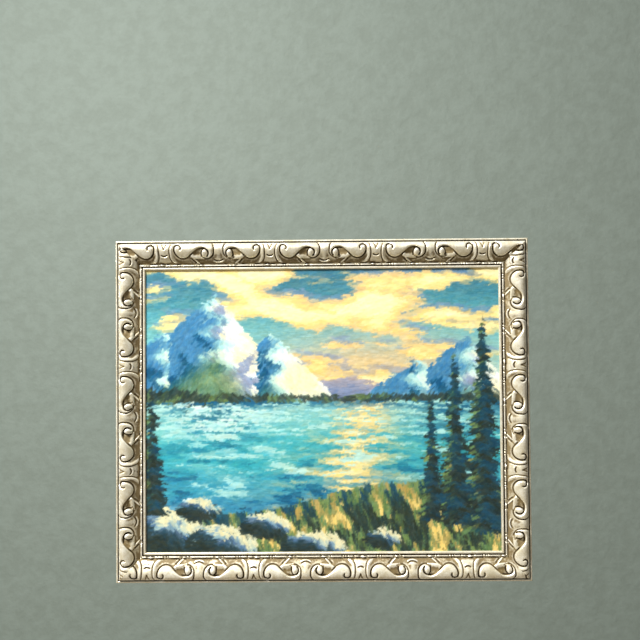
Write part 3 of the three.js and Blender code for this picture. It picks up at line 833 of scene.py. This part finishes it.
def raw_cotton():
    """The canvas's unpainted back and edges, in a plain weave with slubs."""
    cotton = Finish("raw_cotton")
    place = cotton.place()
    warp = cotton.node("TexWave", {"bands_direction": "X"},
                       {"Vector": place, "Scale": 260, "Distortion": 1.5, "Detail": 2}, out="Fac")
    weft = cotton.node("TexWave", {"bands_direction": "Z"},
                       {"Vector": place, "Scale": 260, "Distortion": 1.5, "Detail": 2}, out="Fac")
    slubs = cotton.noise(cotton.stretch(place, 0.1, 1, 1), 300, 3, 0.6)
    age = cotton.noise(place, 11, 4, 0.6)
    cloth = warp * 0.5 + weft * 0.5
    colour = cotton.mix(cotton.between(cloth + (slubs - 0.5) * 0.5, 0.2, 0.8), (0.42, 0.34, 0.23), (0.68, 0.60, 0.46))
    colour = cotton.mix(cotton.between(age, 0.5, 0.8) * 0.3, colour, (0.33, 0.24, 0.14))
    return cotton.surface(Base_Color=colour, Roughness=0.85, Normal=cotton.bump(cloth + slubs * 0.5, 0.0003))


def canvas_piece():
    body = bmesh.new()
    bmesh.ops.create_grid(body, x_segments=COLUMNS, y_segments=ROWS, size=0.5)
    bmesh.ops.scale(body, vec=(CANVAS_WIDTH, CANVAS_HEIGHT, 1), verts=body.verts)
    bmesh.ops.rotate(body, cent=(0, 0, 0), matrix=Matrix.Rotation(math.pi / 2, 3, "X"), verts=body.verts)
    bmesh.ops.translate(body, vec=(0, CANVAS_FRONT, 0), verts=body.verts)
    rim = [e for e in body.edges if e.is_boundary]
    half = Vector((CANVAS_WIDTH / 2, CANVAS_HEIGHT / 2))
    # The cloth turns down the sides, in over the back of the stretcher, and back on itself.
    for inset, y in (
        (0, CANVAS_BACK), (CLOTH + TURNOVER, CANVAS_BACK), (CLOTH + TURNOVER, CANVAS_BACK - CLOTH),
        (CLOTH, CANVAS_BACK - CLOTH), (CLOTH, CANVAS_FRONT + CLOTH),
    ):
        turned = bmesh.ops.extrude_edge_only(body, edges=rim)["geom"]
        rim = [g for g in turned if isinstance(g, bmesh.types.BMEdge) and g.is_boundary]
        verts = list({v for e in rim for v in e.verts})
        now = Vector((CANVAS_WIDTH / 2 - inset, CANVAS_HEIGHT / 2 - inset))
        bmesh.ops.scale(body, vec=(now.x / half.x, 1, now.y / half.y), verts=verts)
        bmesh.ops.translate(body, vec=(0, y - verts[0].co.y, 0), verts=verts)
        half = now
    bmesh.ops.holes_fill(body, edges=rim, sides=0)
    bmesh.ops.triangulate(body, faces=[f for f in body.faces if len(f.verts) > 4])
    bmesh.ops.recalc_face_normals(body, faces=body.faces)
    mesh = bpy.data.meshes.new("canvas_cloth")
    body.to_mesh(mesh)
    body.free()

    at = np.empty(len(mesh.vertices) * 3)
    mesh.vertices.foreach_get("co", at)
    at = at.reshape(-1, 3)
    painted = at[:, 1] < CANVAS_FRONT + 0.01
    column = np.rint((at[:, 0] / CANVAS_WIDTH + 0.5) * COLUMNS).astype(int).clip(0, COLUMNS)
    row = np.rint((0.5 - at[:, 2] / CANVAS_HEIGHT) * ROWS).astype(int).clip(0, ROWS)
    x, y = np.meshgrid(
        np.linspace(0, CANVAS_WIDTH, COLUMNS + 1), np.linspace(0, CANVAS_HEIGHT, ROWS + 1), indexing="ij"
    )
    colour, body_of_paint = brushed(x, y, CANVAS_WIDTH / COLUMNS)
    lie = lake_at_evening(x, y)[1]
    thick = body_of_paint[column, row]
    at[:, 1] -= np.where(painted, thick, 0)
    mesh.vertices.foreach_set("co", at.ravel())
    rgba = np.ones((len(at), 4), np.float32)
    rgba[:, :3] = colour[column, row] ** 2.2
    mesh.attributes.new("paint", "FLOAT_COLOR", "POINT").data.foreach_set("color", rgba.ravel())
    mesh.attributes.new("body", "FLOAT", "POINT").data.foreach_set("value", thick.astype(np.float32))
    steep = ease(0.45, 0.75, abs(np.sin(lie)))[column, row].astype(np.float32)
    mesh.attributes.new("upright", "FLOAT", "POINT").data.foreach_set("value", steep)
    middle = np.empty(len(mesh.polygons) * 3)
    mesh.polygons.foreach_get("center", middle)
    behind = middle.reshape(-1, 3)[:, 1] > CANVAS_FRONT + 0.05
    mesh.materials.append(canvas_material())
    mesh.materials.append(raw_cotton())
    mesh.polygons.foreach_set("material_index", behind.astype(np.int32))
    mesh.polygons.foreach_set("use_smooth", ~behind)
    place = Vector((CANVAS_MIDDLE.x, 0, CANVAS_MIDDLE.z))
    mesh.transform(Matrix.Translation(place) @ Matrix.Scale(MM, 4))
    piece = bpy.data.objects.new("painted_canvas", mesh)
    scene.collection.objects.link(piece)
    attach(piece, "root")
    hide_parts("canvas")
    return piece


# Cut to the face, both sides and both turnovers; the corners are folded in.
canvas = canvas_piece()
cut_area = CANVAS_WIDTH * CANVAS_HEIGHT + (CANVAS_BACK - CANVAS_FRONT) * 2 * (CANVAS_WIDTH + CANVAS_HEIGHT)
cut_area += 2 * (TURNOVER + CLOTH) * (CANVAS_WIDTH + CANVAS_HEIGHT - 2 * (TURNOVER + CLOTH))

# ---- The stretcher ------------------------------------------------------------------------
# Four pine bars with mitred ends, planed and left bare.

pine = {
    "level": bare_wood("stretcher_pine_level", (0.74, 0.55, 0.33), (0.56, 0.36, 0.18), (0.05, 1, 1)),
    "upright": bare_wood("stretcher_pine_upright", (0.74, 0.55, 0.33), (0.56, 0.36, 0.18), (1, 1, 0.05)),
}
for side_name, run in (("top", "level"), ("bottom", "level"), ("left", "upright"), ("right", "upright")):
    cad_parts["stretcher_" + side_name].material_slots[0].material = pine[run]

# ---- Staples ------------------------------------------------------------------------------
# Steel staples hold the turned-over cotton to the back of the stretcher, a hand apart.


def zinc_steel():
    zinc = Finish("zinc_steel")
    place = zinc.place()
    spangle = zinc.node("TexVoronoi", {"feature": "F1"}, {"Vector": place, "Scale": 260}, out="Color")
    spangle = zinc.node("SeparateColor", None, {"Color": spangle}, out="Red")
    dull = zinc.noise(place, 130, 4, 0.6)
    scratch = zinc.noise(zinc.stretch(place, 0.1, 1, 1), 1500, 2, 0.6)
    colour = zinc.mix(zinc.between(spangle * 0.5 + dull * 0.5, 0.25, 0.75), (0.42, 0.42, 0.40), (0.66, 0.65, 0.61))
    colour = zinc.mix(zinc.between(dull, 0.58, 0.78) * 0.5, colour, (0.30, 0.26, 0.21))
    return zinc.surface(
        Base_Color=colour, Metallic=0.9,
        Roughness=0.34 + dull * 0.2,
        Normal=zinc.bump(scratch * 0.4 + dull, 0.00008),
    )


zinc = zinc_steel()


def fitted(name, bodies):
    """One piece from a list of small bodies, which are already in place in metres."""
    mesh = bpy.data.meshes.new(name)
    whole = bmesh.new()
    for part in bodies:
        part.to_mesh(mesh)
        whole.from_mesh(mesh)
        part.free()
    whole.to_mesh(mesh)
    whole.free()
    mesh.materials.append(zinc)
    mesh.set_sharp_from_angle(angle=math.radians(35))
    piece = bpy.data.objects.new(name, mesh)
    scene.collection.objects.link(piece)
    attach(piece, "root")
    return piece


def staple(x, z, turn):
    """A bright wire crown, lying on the cloth."""
    wire = bmesh.new()
    bmesh.ops.create_cube(wire, size=1.0, matrix=Matrix.Diagonal((10.5, 0.55, 1.1, 1)))
    bmesh.ops.bevel(
        wire, geom=wire.edges[:], offset=0.16, offset_type="OFFSET", affect="EDGES",
        segments=2, profile=0.5, material=-1,
    )
    legs = Matrix.Translation((x, CANVAS_BACK + 0.28, z)) @ Matrix.Rotation(turn, 4, "Y")
    wire.transform(Matrix.Translation((CANVAS_MIDDLE.x, 0, CANVAS_MIDDLE.z)) @ Matrix.Scale(MM, 4) @ legs)
    return wire


staples = []
spread = np.random.default_rng(7)
for turned_bar, count, reach, across in (
    (0, 6, CANVAS_WIDTH, CANVAS_HEIGHT), (math.pi / 2, 5, CANVAS_HEIGHT, CANVAS_WIDTH),
):
    for side_sign in (-1, 1):
        for k in range(count):
            along = ((k + 0.5) / count - 0.5) * (reach - 70) + spread.uniform(-4, 4)
            out = side_sign * (across / 2 - 12 + spread.uniform(-1, 1))
            if abs(along) < 14:
                along += 22
            x, z = (along, out) if turned_bar == 0 else (out, along)
            staples.append(staple(x, z, turned_bar + spread.uniform(-0.12, 0.12)))
fitted("turnover_staples", staples)

# ---- Retaining plates and their screws ----------------------------------------------------
# Flat zinc strips, one to a side, screwed to the rail and lying over the stretcher to keep it in.

for side_name in ("top", "right", "bottom", "left"):
    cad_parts["retaining_plate_" + side_name].material_slots[0].material = zinc


def round_head(radius, high, slot_wide, at, turn):
    """A low domed screw or nail head facing the wall; a screw has a slot."""
    head = bmesh.new()
    line = [(radius * math.cos(a), high * math.sin(a)) for a in np.linspace(0, math.pi / 2, 6)]
    corners = [head.verts.new((r, y, 0)) for r, y in [(0, -0.02), (radius, -0.02)] + line[:-1] + [(0, high)]]
    edges = [head.edges.new(pair) for pair in zip(corners, corners[1:])]
    bmesh.ops.spin(
        head, geom=corners + edges, cent=(0, 0, 0), axis=(0, 1, 0), dvec=(0, 0, 0),
        angle=2 * math.pi, steps=20, use_merge=True,
    )
    bmesh.ops.remove_doubles(head, verts=head.verts, dist=1e-4)
    bmesh.ops.recalc_face_normals(head, faces=head.faces)
    if slot_wide:
        for vert in head.verts:
            if abs(vert.co.z) < slot_wide and vert.co.y > high * 0.35:
                vert.co.y = high * 0.35
    head.transform(Matrix.Translation(at) @ Matrix.Rotation(turn, 4, "Y") @ Matrix.Scale(MM, 4))
    return head


screws = []
for name, turn in (("top", 0.3), ("right", 1.2), ("bottom", 2.1), ("left", 0.8)):
    low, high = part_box("retaining_plate_" + name)
    centre = (low + high) / 2
    rail_low, rail_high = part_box("frame_" + name)
    outward = {"top": (0, 0, 1), "right": (1, 0, 0), "bottom": (0, 0, -1), "left": (-1, 0, 0)}[name]
    at = centre + Vector(outward) * 0.0095
    at.y = high.y - 0.0009
    screws.append(round_head(3.2, 1.1, 0.5, at, turn))
fitted("plate_screws", screws)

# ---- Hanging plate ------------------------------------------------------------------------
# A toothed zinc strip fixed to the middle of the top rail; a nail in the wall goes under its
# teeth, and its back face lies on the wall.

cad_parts["hanging_plate"].material_slots[0].material = zinc

# ---- Light, backdrop and floor --------------------------------------------------------------
# A plain sheet behind and a pale floor below, lit by one high window at the left, by the soft
# light of a room, and by a weak lamp for the back.

BACKDROP_Y = 1.8
FLOOR_Z = -1.6
world = bpy.data.worlds.new("room_light")
world.use_nodes = True
nodes, links = world.node_tree.nodes, world.node_tree.links
towards = nodes.new("ShaderNodeTexCoord")
height = nodes.new("ShaderNodeSeparateXYZ")
level = nodes.new("ShaderNodeMapRange")
level.inputs["From Min"].default_value = -1
level.inputs["From Max"].default_value = 1
room = nodes.new("ShaderNodeValToRGB")
ROOM = [
    (0.0, (0.11, 0.075, 0.042)), (0.40, (0.15, 0.11, 0.066)), (0.50, (0.22, 0.185, 0.135)),
    (0.62, (0.50, 0.49, 0.45)), (0.80, (0.95, 0.95, 0.92)), (1.0, (1.0, 1.0, 1.0)),
]
while len(room.color_ramp.elements) < len(ROOM):
    room.color_ramp.elements.new(1.0)
for stop, (place, colour) in zip(room.color_ramp.elements, ROOM):
    stop.position = place
    stop.color = (*colour, 1)
links.new(towards.outputs["Generated"], height.inputs[0])
links.new(height.outputs["Z"], level.inputs["Value"])
links.new(level.outputs[0], room.inputs["Fac"])
links.new(room.outputs["Color"], nodes["Background"].inputs["Color"])
nodes["Background"].inputs["Strength"].default_value = 0.57
scene.world = world


def plain_paint(name, dark, pale):
    paint = Finish(name)
    stipple = paint.noise(paint.place(), 22, 5, 0.6)
    colour = paint.mix(paint.between(stipple, 0.35, 0.65), dark, pale)
    return paint.surface(Base_Color=colour, Roughness=0.75, Normal=paint.bump(stipple, 0.004))


def stage_sheet(name, place, paint):
    """A flat sheet 12 m wide that isn't part of the piece."""
    sheet = bmesh.new()
    bmesh.ops.create_grid(sheet, x_segments=1, y_segments=1, size=6)
    sheet.transform(place)
    mesh = bpy.data.meshes.new(name)
    sheet.to_mesh(mesh)
    sheet.free()
    mesh.materials.append(paint)
    piece = bpy.data.objects.new(name, mesh)
    scene.collection.objects.link(piece)


upright_sheet = Matrix.Translation((0, BACKDROP_Y, 0)) @ Matrix.Rotation(math.pi / 2, 4, "X")
stage_sheet("backdrop", upright_sheet, plain_paint("backdrop_paint", (0.21, 0.255, 0.225), (0.23, 0.28, 0.25)))
stage_sheet("floor", Matrix.Translation((0, 0, FLOOR_Z)), plain_paint("floor_paint", (0.31, 0.272, 0.222), (0.34, 0.30, 0.25)))


def lamp(name, at, size, watts, colour, spread=180):
    """A soft square lamp that faces the middle of the frame."""
    light = bpy.data.lights.new(name, "AREA")
    light.size = size
    light.energy = watts
    light.color = colour
    light.spread = math.radians(spread)
    holder = bpy.data.objects.new(name, light)
    holder.location = FRAME_MIDDLE + Vector(at)
    holder.rotation_euler = (-Vector(at)).to_track_quat("-Z", "Y").to_euler()
    scene.collection.objects.link(holder)


lamp("window", (-1.6, -1.35, 2.3), 0.6, 218, (1.0, 0.98, 0.94))
lamp("fill_behind", (-1.9, 1.35, 1.0), 0.8, 6.5, (1.0, 0.97, 0.92), spread=50)
